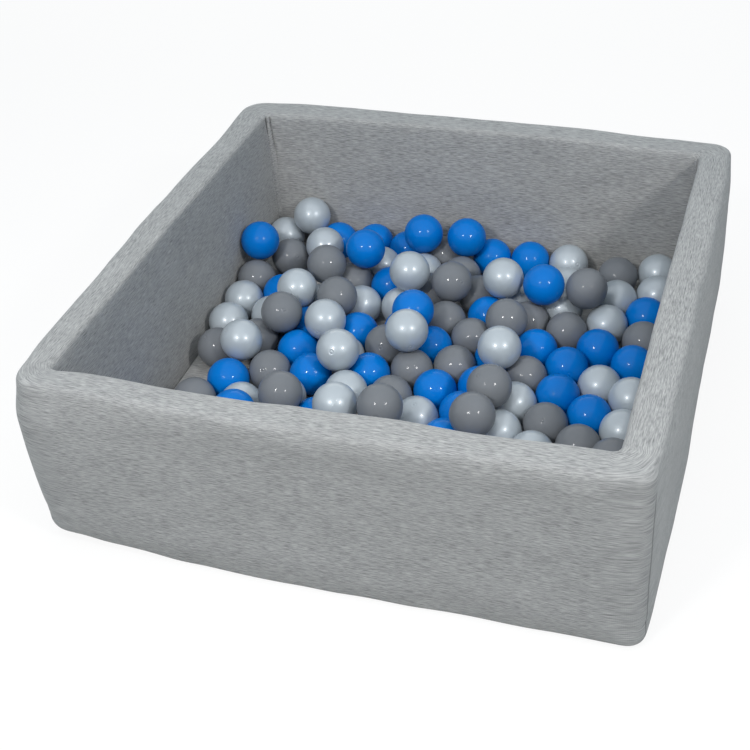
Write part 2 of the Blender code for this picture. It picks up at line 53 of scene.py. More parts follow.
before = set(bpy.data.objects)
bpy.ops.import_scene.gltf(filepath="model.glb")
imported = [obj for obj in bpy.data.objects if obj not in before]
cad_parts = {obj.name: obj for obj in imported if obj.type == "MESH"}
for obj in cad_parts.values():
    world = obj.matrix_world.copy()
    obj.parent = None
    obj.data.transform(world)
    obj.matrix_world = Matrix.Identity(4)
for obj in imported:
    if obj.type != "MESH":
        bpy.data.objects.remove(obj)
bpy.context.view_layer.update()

FRONT_LOW, FRONT_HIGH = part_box("cover_front")
FLOOR_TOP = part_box("cover_floor")[1].z
BASE_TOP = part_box("cover_base")[1].z
SINGLE_BALLS = sorted(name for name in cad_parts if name.split("_")[1] == "ball")
JOINED_BALLS = sorted(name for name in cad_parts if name.startswith("ball_cluster"))

# Streaks of the knit per metre, along and across; its loops, and the seams' grooves with their painted shade,
# in metres
FINE_STREAKS = (80, 920, 1)
MIDDLE_STREAKS = (36, 580, 1)
BROAD_CLOUDS = (12, 30, 1)
LOOP_LENGTH = 0.0013
LOOP_WIDTH = 0.0011
SEAM_GROOVE = (0.0002, 0.0013)

# Rays that see the white background besides the camera's
BACKGROUND_RAYS = ("Is Glossy Ray", "Is Transmission Ray")

# Gaps between a soft piece and the solids that it is laid over
SEAT_GAP = 0.0004
LEAST_GAP = 0.0002

# Points of the walls that are closer than this become one
MERGE = 0.0001

# Cloth simulation
PUFF_PRESSURE = 0.3
PUFF_TENSION = 60
PUFF_FRAMES = 20

# Places of the balls
VOTE_CELL = 0.0005
LEAST_VOTES = 12
COLOUR_REACH = 9
PARTING_STEPS = 120

# How far the walls' first outline stands inside their box, or over it at the rim, before the padding swells
OUTER_INSET = 0.0005
INNER_INSET = 0.0015
RIM_RISE = 0.0035

# Where the walls' cloth is held still: this far up from the ground, and up from the padded floor
HELD_FROM_GROUND = 0.006
HELD_FROM_FLOOR = 0.004

# Bed of the zip: cuts beside it, how deep it lies, its edge, and where the padding round it swells again
BED_CUTS = (0.0003, 0.0012)
BED_DEPTH = 0.0042
BED_EDGE = 0.0006
BED_FADE = (0.035, 0.002)

# Places of the columns next to a corner, in shares of the grid
GRADED_SHARES = (0.3, 0.7, 1.2, 1.8, 2.5, 3.4)

# Seams from the middle of an outer corner, along the walls
SEAM_SHIFT = 0.007
FRONT_LEFT_SEAM_SHIFT = -0.020

# Folds below the rim: start and drift beside the corner, depth, length, and whether at the back left
PUCKERS = (
    (0.002, 0.02, 0.0060, 0.050, True),
    (-0.018, -0.12, 0.0065, 0.120, True),
    (0.0, 0.0, 0.0016, 0.200, False),
)
PUCKER_WIDTH = 0.0045

# Marks where a ball was filled, and the heights of the cuts beside its mould line
MARK_LIP = 0.0003
MARK_DEPTH = 0.0002
MARK_INNER = 0.0014
MOULD_LINE_CUTS = (0.0004, 0.0010, 0.0024)

# The camera, and the picture points of the lower balls by colour, in a picture 750 points wide
EYE = Vector((0.557, -1.6078, 1.3342))
EYE_TURNS = (math.radians(-21.26), math.radians(36.78), math.radians(-4.96))
PICTURE_SIZE = 750
PICTURE_FOCUS = 1286.7
LOWER_BALL_POINTS = {
    "blue": (
        (338, 238), (376, 240), (407, 245), (282, 294), (389, 289), (412, 310), (299, 350), (307, 330),
        (357, 329), (310, 371), (229, 380), (232, 409), (371, 368), (433, 343), (437, 389), (491, 254),
        (529, 259), (646, 316), (486, 316), (539, 351), (596, 348), (565, 368), (632, 362), (473, 384),
        (557, 397), (458, 412), (587, 414), (441, 435),
    ),
    "grey": (
        (291, 257), (257, 277), (356, 283), (214, 350), (260, 338), (268, 369), (196, 396), (386, 343),
        (413, 366), (395, 391), (620, 276), (463, 275), (446, 256), (478, 298), (430, 298), (643, 341),
        (530, 323), (450, 318), (470, 338), (565, 334), (455, 365), (527, 377), (543, 424), (575, 442),
        (609, 455),
    ),
    "pearl": (
        (287, 235), (245, 299), (382, 265), (424, 271), (271, 316), (365, 307), (401, 310), (229, 323),
        (243, 404), (345, 387), (416, 414), (573, 264), (657, 270), (656, 295), (518, 301), (567, 285),
        (562, 311), (618, 300), (606, 326), (597, 382), (625, 395), (518, 401), (618, 426), (503, 428),
        (531, 449),
    ),
}

# How the padding stands off its straight lines, in millimetres, by the way round the pit from the middle of
# the front wall: place in walls, rim up, rim out, inner rim out, waist out, foot out, foot up
DRIFT = (
    (0.000, -2, 2, 4, -3, 5, 0),
    (0.125, -1, 2, 2, -3, 3, 0),
    (0.250, -2, 2, 4, -3, 0, 0),
    (0.400, 0, 2, 0, -4, 0, 0),
    (0.500, 0, -1, 0, -1, 0, 1),
    (0.600, 0, 0, 0, 0, 1, 0),
    (0.750, 0, 0, 0, 1, 4, 0),
    (0.875, 0, 0, 0, 1, 6, 0),
    (1.000, 0, 0, 0, 0, 3, 0),
    (1.200, 0, 0, 0, 0, -1, 0),
    (1.375, -1, 0, 0, -1, -3, 0),
    (1.500, -5, -4, 0, -1, -3, 1),
    (1.600, -3, 0, 0, 0, 0, 0),
    (1.800, 4, 2, 0, 1, 0, 0),
    (2.000, 6, 3, 0, 2, 0, 0),
    (2.400, 6, 3, 0, 1, 0, 0),
    (2.500, 3, 1, 0, 0, 0, 3),
    (2.620, 1, 0, 0, 0, 0, 0),
    (2.870, 3, 2, 0, 1, 1, 0),
    (3.000, 5, 3, 0, 1, 1, 0),
    (3.120, 2, 0, 0, 0, 0, 0),
    (3.250, -1, 0, 0, 1, 0, 0),
    (3.400, -1, -2, 0, 5, 2, 5),
    (3.500, -5, -5, 5, 8, 1, 17),
    (3.600, -2, -1, 3, 4, 1, 8),
    (3.750, -4, 1, 6, -1, 3, 0),
    (3.875, -3, 2, 7, -2, 6, 0),
    (4.000, -2, 2, 4, -3, 5, 0),
)


# Sizes, colours and light that a user would change

def length(name, description, default):
    return FloatProperty(name=name, description=description, default=default, unit="LENGTH", precision=4)


def colour(name, description, default):
    return FloatVectorProperty(
        name=name, description=description, default=default, size=3, min=0, max=1, subtype="COLOR")


def power(name, description, default):
    return FloatProperty(name=name, description=description, default=default, unit="POWER")


class PitSizes(PropertyGroup):
    half: length("Half width", "From the middle to the outer face of a wall", -FRONT_LOW.y)
    wall: length("Wall", "Thickness of a padded wall", FRONT_HIGH.y - FRONT_LOW.y)
    height: length("Height", "Height of the walls", FRONT_HIGH.z)
    rim_round: length("Outer rim round", "Rounding of the rim's outer edge", 0.010)
    inner_rim_round: length("Inner rim round", "Rounding of the rim's inner edge", 0.008)
    foot_round: length("Foot round", "Rounding of the outer foot", 0.014)
    corner_rounds: FloatVectorProperty(
        name="Corner rounds", description="Rounding of the outer corners, from the front left one round",
        default=(0.040, 0.024, 0.034, 0.040), size=4, unit="LENGTH")
    inner_round: length("Inner corner round", "Rounding of the standing inner corners", 0.012)
    grid: length("Grid", "Spacing of the cloth's grid", 0.013)
    swell: length("Swell", "How far the padding may swell from where it starts", 0.0055)
    slack: length("Slack", "How far the cloth's waves stand in and out", 0.0014)
    ball: length("Ball", "Diameter of a ball", 0.070)
    mould_line: length("Mould line", "Height of the line round a ball's middle", 0.00014)
    tooth_pitch: length("Tooth pitch", "From one zip tooth to the next", 0.0025)
    stitch: length("Stitch", "Length of a stitch beside the zip", 0.0034)


class PitColours(PropertyGroup):
    cover_light: colour("Cover light", "Light yarn of the cover", (0.496, 0.494, 0.490))
    cover_dark: colour("Cover dark", "Dark yarn of the cover", (0.169, 0.172, 0.175))
    blue: colour("Blue", "Blue balls", (0.000, 0.158, 0.550))
    grey: colour("Grey", "Grey balls", (0.172, 0.184, 0.202))
    pearl: colour("Pearl", "Pearl balls", (0.425, 0.475, 0.520))
    tape: colour("Tape", "Tape and teeth of the zip", (0.230, 0.238, 0.245))
    metal: colour("Metal", "Slider, pull tab and stops", (0.560, 0.565, 0.570))
    floor: colour("Floor", "Floor under the pit", (0.430, 0.419, 0.408))


class PitLight(PropertyGroup):
    left_power: power("Left lamp", "Power of the small lamp at the front", 34)
    right_power: power("Right lamp", "Power of the small lamp at the right", 31)
    lamp_size: length("Lamp size", "Diameter of each small lamp", 0.40)
    lamp_distance: length("Lamp distance", "From the middle of the pit to a small lamp", 3.2)
    panel_power: power("Panel", "Power of the soft panel overhead", 29)
    panel_size: length("Panel size", "Side of the soft panel overhead", 2.4)
    fill_power: power("Fill", "Power of the soft light from behind", 19)
    sky: FloatProperty(name="Sky", description="Strength of the even light", default=0.33, min=0)
    seed: IntProperty(name="Seed", description="Start of the chance turns of the balls", default=7)


# Modelling by hand

def leave_edit_mode():
    if bpy.context.object and bpy.context.object.mode != "OBJECT":
        bpy.ops.object.mode_set(mode="OBJECT")


def select_only(*pieces):
    leave_edit_mode()
    bpy.ops.object.select_all(action="DESELECT")
    for piece in pieces:
        piece.select_set(True)
    bpy.context.view_layer.objects.active = pieces[0]


def start_piece(name, primitive, sides=(1, 1, 1), **settings):
    """Adds a primitive, gives it its size, and puts its place and turn in its mesh."""
    leave_edit_mode()
    bpy.ops.object.select_all(action="DESELECT")
    getattr(bpy.ops.mesh, f"primitive_{primitive}_add")(**settings)
    piece = bpy.context.object
    piece.name = piece.data.name = name
    piece.scale = sides
    bpy.ops.object.transform_apply(location=True, rotation=True, scale=True)
    return piece


@contextmanager
def editing(piece, selecting="VERT"):
    select_only(piece)
    bpy.ops.object.mode_set(mode="EDIT")
    bpy.ops.mesh.select_mode(type=selecting)
    yield
    bpy.ops.object.mode_set(mode="OBJECT")


def pick(piece, kind, test):
    """Selects what passes the test, in edit mode."""
    bpy.ops.mesh.select_all(action="DESELECT")
    shape = bmesh.from_edit_mesh(piece.data)
    for part in getattr(shape, kind):
        if test(part):
            part.select_set(True)
    shape.select_flush_mode()
    bmesh.update_edit_mesh(piece.data)


def select_whole():
    bpy.ops.mesh.select_all(action="SELECT")


def cut(place, axis):
    """Cuts the whole mesh across an axis, in edit mode."""
    spot, way = [0, 0, 0], [0, 0, 0]
    spot[axis], way[axis] = place, 1
    select_whole()
    bpy.ops.mesh.bisect(plane_co=spot, plane_no=way)


def turn_outward():
    select_whole()
    bpy.ops.mesh.normals_make_consistent(inside=False)


def edge_length_over(least):
    return lambda edge: edge.calc_length() > least


def add_modifier(piece, kind, **settings):
    made = piece.modifiers.new(kind.title(), kind)
    for name, value in settings.items():
        setattr(made, name, value)
    return made


def apply_modifiers(piece):
    select_only(piece)
    for modifier in list(piece.modifiers):
        bpy.ops.object.modifier_apply(modifier=modifier.name)


def points_of(piece):
    points = np.empty(len(piece.data.vertices) * 3, np.float32)
    piece.data.vertices.foreach_get("co", points)
    return points.reshape(-1, 3).astype(float)


def move_points(piece, points):
    piece.data.vertices.foreach_set("co", np.asarray(points, np.float32).ravel())
    piece.data.update()


def normals_of(piece):
    return np.array([vertex.normal for vertex in piece.data.vertices])


def soft_step(low, high, values):
    share = np.clip((values - low) / (high - low), 0, 1)
    return share * share * (3 - 2 * share)


def smooth(piece, degrees=180):
    select_only(piece)
    bpy.ops.object.shade_smooth_by_angle(angle=math.radians(degrees))


def dress(piece, finish, body, slot, *nodes):
    """Gives a finished piece its material and its body, and hides the CAD nodes that it stands for. The slot
    is not used.
    """
    if finish:
        piece.data.materials.clear()
        piece.data.materials.append(finish)
    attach(piece, body)
    if nodes:
        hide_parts(*nodes)
    return piece


# Shader sums as Python expressions

class Value:
    """A socket that can stand in a sum."""

    def __init__(self, finish, socket):
        self.finish = finish
        self.socket = socket

    def sum(self, operation, *values):
        return self.finish.node("ShaderNodeMath", {"operation": operation}, dict(enumerate(values)))

    def __add__(self, other):
        return self.sum("ADD", self, other)

    def __sub__(self, other):
        return self.sum("SUBTRACT", self, other)

    def __rsub__(self, other):
        return self.sum("SUBTRACT", other, self)

    def __mul__(self, other):
        return self.sum("MULTIPLY", self, other)

    def size(self):
        return self.sum("ABSOLUTE", self)

    def wrapped(self, length):
        """What is left over of a length, counted from its middle."""
        return self.sum("WRAP", self, length / 2, -length / 2)

    def between(self, low, high):
        """0 below the low value and 1 above the high one, with a smooth step."""
        settings = {"interpolation_type": "SMOOTHSTEP"}
        return self.finish.node("ShaderNodeMapRange", settings, {0: self, 1: low, 2: high, 3: 0, 4: 1})


class Finish:
    """A material under construction."""

    def __init__(self, name, **constants):
        self.material = bpy.data.materials.new(name)
        self.material.use_nodes = True
        self.nodes = self.material.node_tree.nodes
        self.links = self.material.node_tree.links
        self.shader = self.nodes["Principled BSDF"]
        for socket, value in constants.items():
            self.shader.inputs[socket.replace("_", " ").title().replace("Ior", "IOR")].default_value = value

    def node(self, kind, settings, inputs, output=0):
        """Any node: its settings, then the values or links of its sockets."""
        made = self.nodes.new(kind)
        for name, value in settings.items():
            setattr(made, name, value)
        for socket, value in inputs.items():
            self.feed(made.inputs[socket], value)
        return Value(self, made.outputs[output])

    def feed(self, socket, value):
        if isinstance(value, Value):
            self.links.new(value.socket, socket)
        else:
            socket.default_value = value

    def uv(self, name):
        return self.node("ShaderNodeUVMap", {"uv_map": name}, {})

    def place(self):
        return self.node("ShaderNodeTexCoord", {}, {}, "Object")

    def split(self, vector):
        made = self.nodes.new("ShaderNodeSeparateXYZ")
        self.feed(made.inputs[0], vector)
        return [Value(self, socket) for socket in made.outputs]

    def stretched(self, vector, scale):
        return self.node("ShaderNodeMapping", {}, {"Vector": vector, "Scale": scale})

    def noise(self, vector, scale, detail, roughness=0.5):
        vector = self.stretched(vector, scale)
        inputs = {"Vector": vector, "Scale": 1, "Detail": detail, "Roughness": roughness}
        return self.node("ShaderNodeTexNoise", {}, inputs, "Fac")

    def blend(self, share, first, second):
        settings = {"data_type": "RGBA", "clamp_factor": True}
        first, second = (c if isinstance(c, Value) else (*c, 1) for c in (first, second))
        return self.node("ShaderNodeMix", settings, {0: share, 6: first, 7: second}, 2)

    def bump(self, height, distance, strength):
        inputs = {"Height": height, "Distance": distance, "Strength": strength}
        return self.node("ShaderNodeBump", {}, inputs)

    def finish(self, **inputs):
        for socket, value in inputs.items():
            self.feed(self.shader.inputs[socket.replace("_", " ").title()], value)
        return self.material


def shade(tone, share):
    return tuple(min(1, part * share) for part in tone)


def made_once(make):
    """Keeps the first material that a function makes, and gives it again."""
    def again(colours):
        name = make.__name__
        return bpy.data.materials.get(name) or make(colours)
    return again


@made_once
def melange_jersey(colours):
    """Knitted cloth of light and dark yarns, whose streaks run along the walls, with painted shade in the
    seams' grooves.
    """
    finish = Finish("melange_jersey", roughness=0.92, sheen_weight=0.25, sheen_roughness=0.5,
                    specular_ior_level=0.1)
    grain = finish.uv("grain")
    fine = finish.noise(grain, FINE_STREAKS, 3, 0.6)
    middle = finish.noise(grain, MIDDLE_STREAKS, 2)
    broad = finish.noise(grain, BROAD_CLOUDS, 2)
    yarn = (fine - 0.5) * 2.1 + (middle - 0.5) * 1.0 + (broad - 0.5) * 0.3 + 0.5
    along, round_wall, _ = finish.split(grain)
    from_seam, strength, _ = finish.split(finish.uv("seams"))
    groove_and_shade = (1 - from_seam.size().between(*SEAM_GROOVE)) * strength
    loops = along.wrapped(LOOP_LENGTH).size() * 700 + round_wall.wrapped(LOOP_WIDTH).size() * 500
    tone = finish.blend(yarn, colours.cover_dark, colours.cover_light)
    # Painted shade: the cloth in the seams' grooves is blended towards a darker shade of the dark yarn
    tone = finish.blend(groove_and_shade * 0.6, tone, shade(colours.cover_dark, 0.45))
    height = loops * 0.5 + fine * 0.9 + middle * 0.8 - groove_and_shade * 3
    normal = finish.bump(height, 0.0006, 0.5)
    return finish.finish(base_color=tone, normal=normal)


@made_once
def blue_plastic(colours):
    return ball_plastic("blue_plastic", colours.blue)


@made_once
def grey_plastic(colours):
    return ball_plastic("grey_plastic", colours.grey)


def ball_plastic(name, base):
    """Blown plastic with faint clouds in its colour and small scuffs in its gloss."""
    finish = Finish(name, coat_weight=0.28, coat_roughness=0.09, specular_ior_level=0.05)
    place = finish.place()
    clouds = finish.noise(place, (28, 28, 28), 3)
    scuffs = finish.noise(place, (240, 240, 240), 2)
    tone = finish.blend(clouds, shade(base, 0.90), shade(base, 1.08))
    gloss = scuffs * 0.10 + 0.40
    normal = finish.bump(clouds, 0.0004, 0.25)
    return finish.finish(base_color=tone, roughness=gloss, normal=normal)


@made_once
def pearl_plastic(colours):
    """Plastic filled with pearl flakes, which light up in a soft wide glow."""
    finish = Finish("pearl_plastic", coat_weight=0.40, coat_roughness=0.08, specular_ior_level=0.15)
    place = finish.place()
    clouds = finish.noise(place, (24, 24, 24), 3)
    flow = finish.noise(place, (90, 90, 20), 3)
    tone = finish.blend(clouds, shade(colours.pearl, 0.93), shade(colours.pearl, 1.06))
    metal = flow * 0.2 + 0.10
    gloss = flow * 0.12 + 0.31
    normal = finish.bump(clouds, 0.0004, 0.25)
    return finish.finish(base_color=tone, metallic=metal, roughness=gloss, normal=normal)


@made_once
def woven_tape(colours):
    """Tape of the zip, woven in slanting bands."""
    finish = Finish("woven_tape", roughness=0.88, sheen_weight=0.2, specular_ior_level=0.3)
    place = finish.place()
    weave = finish.node("ShaderNodeTexWave", {"wave_type": "BANDS", "bands_direction": "DIAGONAL"},
                        {"Vector": place, "Scale": 520, "Distortion": 1.5})
    cross = finish.noise(place, (900, 900, 1400), 2)
    tone = finish.blend(weave * 0.6 + cross * 0.4, shade(colours.tape, 0.72), colours.tape)
    return finish.finish(base_color=tone, normal=finish.bump(weave + cross, 0.0003, 0.6))


@made_once
def zip_nylon(colours):
    finish = Finish("zip_nylon", roughness=0.42, specular_ior_level=0.5)
    place = finish.place()
    cloud = finish.noise(place, (300, 300, 300), 2)
    tone = finish.blend(cloud, shade(colours.tape, 0.85), shade(colours.tape, 1.15))
    return finish.finish(base_color=tone, roughness=cloud * 0.2 + 0.32)


@made_once
def zip_metal(colours):
    """Tumbled metal, brighter where it is handled."""
    finish = Finish("zip_metal", metallic=1.0)
    place = finish.place()
    worn = finish.noise(place, (160, 160, 160), 4, 0.6)
    scratch = finish.noise(place, (2500, 300, 300), 2)
    tone = finish.blend(worn, shade(colours.metal, 0.7), colours.metal)
    normal = finish.bump(scratch, 0.0001, 0.3)
    return finish.finish(base_color=tone, roughness=worn * 0.3 + 0.2, normal=normal)


@made_once
def sewing_thread(colours):
    finish = Finish("sewing_thread", roughness=0.7, sheen_weight=0.3)
    place = finish.place()
    twist = finish.noise(place, (1800, 900, 2600), 2)
    tone = finish.blend(twist, colours.cover_dark, colours.cover_light)
    return finish.finish(base_color=tone, normal=finish.bump(twist, 0.0002, 0.5))


@made_once
def pale_floor(colours):
    """Pale floor that the camera sees as white, with the object's shadow kept."""
    finish = Finish("pale_floor", roughness=0.9, specular_ior_level=0.1)
    place = finish.place()
    rays = finish.nodes.new("ShaderNodeLightPath")
    seen = Value(finish, rays.outputs["Is Camera Ray"])
    clouds = finish.noise(place, (3, 3, 3), 2) * 0.04
    finish.finish(base_color=finish.blend(seen - clouds, colours.floor, (1, 1, 1)))
    for kind in BACKGROUND_RAYS:
        seen = seen.sum("MAXIMUM", seen, Value(finish, rays.outputs[kind]))
    across, along, _ = finish.split(place)
    far = (across * across + along * along).between(1.5, 14)
    white = finish.node("ShaderNodeEmission", {}, {"Color": (1, 1, 1, 1), "Strength": 1})
    surface = Value(finish, finish.shader.outputs[0])
    mixed = finish.node("ShaderNodeMixShader", {}, {0: seen * (far * 0.12 + 0.88), 1: surface, 2: white})
    finish.feed(finish.nodes["Material Output"].inputs["Surface"], mixed)
    return finish.material


# Padded pieces

def pin_group(piece, held):
    group = piece.vertex_groups.new(name="held")
    group.add([int(k) for k in np.nonzero(held)[0]], 1, "REPLACE")
    return group.name


def puff_up(piece, held, cap):
    """Swells a closed shell with cloth simulation, and lets no point move further than its cap."""
    start = points_of(piece)
    cloth = add_modifier(piece, "CLOTH")
    settings = cloth.settings
    settings.quality = 5
    settings.mass = 0.3
    settings.tension_stiffness = settings.compression_stiffness = PUFF_TENSION
    settings.shear_stiffness = PUFF_TENSION / 2
    settings.bending_stiffness = 0.8
    settings.use_pressure = True
    settings.uniform_pressure_force = PUFF_PRESSURE
    settings.vertex_group_mass = pin_group(piece, held)
    settings.effector_weights.gravity = 0
    cloth.collision_settings.use_collision = False
    scene = bpy.context.scene
    cloth.point_cache.frame_start, cloth.point_cache.frame_end = 1, PUFF_FRAMES
    for step in range(1, PUFF_FRAMES + 1):
        scene.frame_set(step)
    select_only(piece)
    bpy.ops.object.modifier_apply(modifier=cloth.name)
    scene.frame_set(1)
    piece.vertex_groups.clear()
    move = points_of(piece) - start
    far = np.linalg.norm(move, axis=1)
    kept = cap * np.tanh(far / cap) / np.maximum(far, 1e-9)
    move_points(piece, start + move * kept[:, None])


def add_waves(piece, slack, spacing):
    """Slow waves in the cloth, as it lies over the foam."""
    points, normals = points_of(piece), normals_of(piece)
    places = [Vector(point) for point in points]
    waves = np.array([noise.noise(p / spacing) + 0.5 * noise.noise(p * 2.3 / spacing) for p in places])
    move_points(piece, points + normals * (waves * slack)[:, None])


def rounded_reach(turn, reach, radius):
    """How far a square corner of that rounding reaches from the pivot, by angle."""
    c, s = np.cos(turn), np.sin(turn)
    inset = reach - radius
    flat = reach / np.maximum(c, s)
    round_part = inset * (c + s) + np.sqrt(np.maximum(radius ** 2 - inset ** 2 * (1 - 2 * c * s), 0))
    return np.where(np.minimum(c, s) / np.maximum(c, s) < inset / reach, flat, round_part)


def graded_columns(start, end, grid):
    """Places along a side that close up towards its two ends."""
    inner = [start + grid * share for share in GRADED_SHARES]
    outer = [end - grid * share for share in reversed(GRADED_SHARES)]
    count = round((outer[0] - inner[-1]) / grid)
    middle = np.linspace(inner[-1], outer[0], count + 1)[1:-1]
    return [*inner, *middle, *outer, end]


def arc_middle(sizes):
    """How far the middles of the corners' arcs stand from the middle of the pit, each way."""
    return sizes.half - sizes.wall - sizes.inner_round


def bed_cuts(low, high):
    """Places of the cuts on both sides of the zip's bed."""
    near, far = BED_CUTS
    return low - far, low - near, high + near, high + far


def face_corners(mesh):
    """The vertex of each face corner."""
    corners = np.empty(len(mesh.loops), np.int32)
    mesh.loops.foreach_get("vertex_index", corners)
    return corners


def write_uv(mesh, name, across, up):
    layer = mesh.uv_layers.new(name=name)
    layer.data.foreach_set("uv", np.column_stack((across, up)).astype(np.float32).ravel())


class PIT_OT_padded_walls(Operator):
    """Make the four padded walls as one sewn ring"""
    bl_idname = "pit.padded_walls"
    bl_label = "Padded Walls"

    def execute(self, context):
        sizes, colours = context.scene.pit_sizes, context.scene.pit_colours
        ring = self.section(sizes)
        self.carry_round(ring, sizes)
        self.square_corners(ring, sizes)
        self.lay_grain(ring, sizes)
        rest = points_of(ring)
        inner = np.abs(rest[:, :2]).max(axis=1) < sizes.half - sizes.wall * 0.8
        puff_up(ring, self.held(rest, sizes), np.where(inner, sizes.swell * 0.4, sizes.swell))
        add_waves(ring, sizes.slack, 0.11)
        self.drift(ring, rest, sizes)
        self.bed_zip(ring, rest, sizes)
        add_modifier(ring, "SUBSURF", levels=1, render_levels=1)
        apply_modifiers(ring)
        self.pucker_corners(ring, sizes)
        smooth(ring)
        sides = ("front", "back", "left", "right")
        nodes = [f"{kind}_{side}" for kind in ("cover", "foam_wall") for side in sides]
        dress(ring, melange_jersey(colours), "pit", "cover", *nodes)
        return {"FINISHED"}

    def section(self, sizes):
        """The outline of the wall, standing across the start of the front wall."""
        pivot = arc_middle(sizes)
        low, high = -sizes.half + OUTER_INSET, -sizes.half + sizes.wall - INNER_INSET
        bottom, top = BASE_TOP + SEAT_GAP, sizes.height + RIM_RISE
        size = (top - bottom, high - low, 1)
        middle = (-pivot, (low + high) / 2, (bottom + top) / 2)
        ring = start_piece(
            "padded_walls", "plane", size, size=1, location=middle, rotation=(0, math.pi / 2, 0))
        with editing(ring):
            for radius, test in (
                (sizes.rim_round, lambda v: v.co.z > top - 0.001 and v.co.y < middle[1]),
                (sizes.inner_rim_round, lambda v: v.co.z > top - 0.001 and v.co.y > high - 0.001),
                (sizes.foot_round, lambda v: v.co.z < bottom + 0.001 and v.co.y < middle[1]),
            ):
                pick(ring, "verts", test)
                bpy.ops.mesh.bevel(affect="VERTICES", offset=radius, offset_type="OFFSET", segments=4)
            select_whole()
            bpy.ops.mesh.delete(type="ONLY_FACE")
            pick(ring, "edges", edge_length_over(4 * sizes.grid))
            tall = max(e.calc_length() for e in bmesh.from_edit_mesh(ring.data).edges)
            bpy.ops.mesh.subdivide(number_cuts=round(tall / sizes.grid) - 1)
            pick(ring, "edges", edge_length_over(1.3 * sizes.grid))
            bpy.ops.mesh.subdivide(number_cuts=1)
            low_zip, high_zip = (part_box(f"zip_tape_{row}")[k].z for row, k in (("lower", 0), ("upper", 1)))
            for height in bed_cuts(low_zip, high_zip):
                cut(height, 2)
        return ring

    def carry_round(self, ring, sizes):
        """Extrudes the outline along the front wall and round a corner, and copies that quarter."""
        pivot = arc_middle(sizes)
        places = [-pivot, *graded_columns(-pivot, pivot, sizes.grid * 1.15)]
        with editing(ring):
            select_whole()
            for last, place in zip(places, places[1:]):
                bpy.ops.mesh.extrude_region_move(TRANSFORM_OT_translate={"value": (place - last, 0, 0)})
            bpy.ops.mesh.spin(steps=12, angle=-math.pi / 2, center=(pivot, -pivot, 0), axis=(0, 0, 1))
            select_whole()
            bpy.ops.mesh.spin(steps=3, dupli=True, angle=1.5 * math.pi, center=(0, 0, 0), axis=(0, 0, 1))
            select_whole()
            bpy.ops.mesh.remove_doubles(threshold=MERGE)
            zip_low, zip_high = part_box("zip_tape_upper")
            for across in bed_cuts(zip_low.x, zip_high.x):
                cut(across, 0)
            turn_outward()

    def square_corners(self, ring, sizes):
        """Draws the outer corners in from the sweep's wide turn to the real, tighter one."""
        pivot = arc_middle(sizes)
        points = points_of(ring)
        offset = np.abs(points[:, :2]) - pivot
        reach = np.linalg.norm(offset, axis=1)
        turning = (offset > 0).all(axis=1)
        turn = np.arctan2(offset[:, 1], offset[:, 0])
        full = sizes.inner_round + sizes.wall
        which = np.where(points[:, 1] < 0, np.where(points[:, 0] < 0, 0, 1), np.where(points[:, 0] < 0, 3, 2))
        radius = np.array(sizes.corner_rounds)[which]
        stretch = (rounded_reach(turn, full, radius) - sizes.inner_round) / sizes.wall
        wanted = sizes.inner_round + (reach - sizes.inner_round) * stretch
        factor = np.where(turning & (reach > sizes.inner_round), wanted / np.maximum(reach, 1e-9), 1)
        points[:, :2] = np.sign(points[:, :2]) * (pivot + offset * factor[:, None])
        move_points(ring, points)

    def held(self, rest, sizes):
        """1 where the cloth is held: under the wall and below the floor."""
        reach = np.abs(rest[:, :2]).max(axis=1)
        inner_foot = (reach < sizes.half - sizes.wall / 2) & (rest[:, 2] < FLOOR_TOP + HELD_FROM_FLOOR)
        under = rest[:, 2] < HELD_FROM_GROUND
        return (inner_foot | under).astype(float)

    def drift(self, ring, rest, sizes):
        """Moves the padding off its straight lines, where it stands out, droops or is drawn in."""
        along, quarter, depth, out = self.way_round(rest, sizes)
        table = np.array(DRIFT)
        place = along / quarter % 4
        row = np.clip(np.searchsorted(table[:, 0], place, side="right") - 1, 0, len(table) - 2)
        low, high = table[row], table[row + 1]
        share = soft_step(low[:, 0], high[:, 0], place)[:, None]
        up, rim, inner_rim, waist, foot, lift = ((low + (high - low) * share) / 1000).T[1:]
        inside = soft_step(0.2 * sizes.wall, 0.8 * sizes.wall, depth)
        height = rest[:, 2] / sizes.height
        upper, lower = soft_step(0.76, 1, height), soft_step(0.45, 0, height)
        outer = rim * upper + waist * (1 - upper - lower) + foot * lower
        outward = (1 - inside) * outer + inside * inner_rim * upper
        rise = up * soft_step(0.75, 1, height) + (1 - inside) * lift * soft_step(0.25, 0, height)
        points = points_of(ring)
        points[:, :2] += out * outward[:, None]
        points[:, 2] += rise
        move_points(ring, points)

    def bed_zip(self, ring, rest, sizes):
        """Sinks the zip's bed in the back and keeps the foot off the floor."""
        points = points_of(ring)
        zip_low, zip_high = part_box("zip_tape_lower")[0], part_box("zip_tape_upper")[1]
        beyond = np.maximum(np.abs(rest[:, 0]) - zip_high.x, 0)
        above = np.maximum(rest[:, 2] - zip_high.z, zip_low.z - rest[:, 2])
        near = soft_step(*BED_FADE, np.hypot(beyond, np.maximum(above, 0)))
        near = near * (rest[:, 1] > sizes.half - 0.020) * (rest[:, 2] > 0.004)
        flat = rest.copy()
        flat[:, 1] = np.where(rest[:, 1] > sizes.half - 0.003, sizes.half - 0.0001, rest[:, 1])
        points += (flat - points) * near[:, None]
        bed = (rest[:, 1] > sizes.half - 0.008) & (beyond < BED_EDGE) & (above < BED_EDGE)
        points[bed, 1] = sizes.half - BED_DEPTH
        points[:, 2] = np.maximum(points[:, 2], BASE_TOP + LEAST_GAP)
        move_points(ring, points)

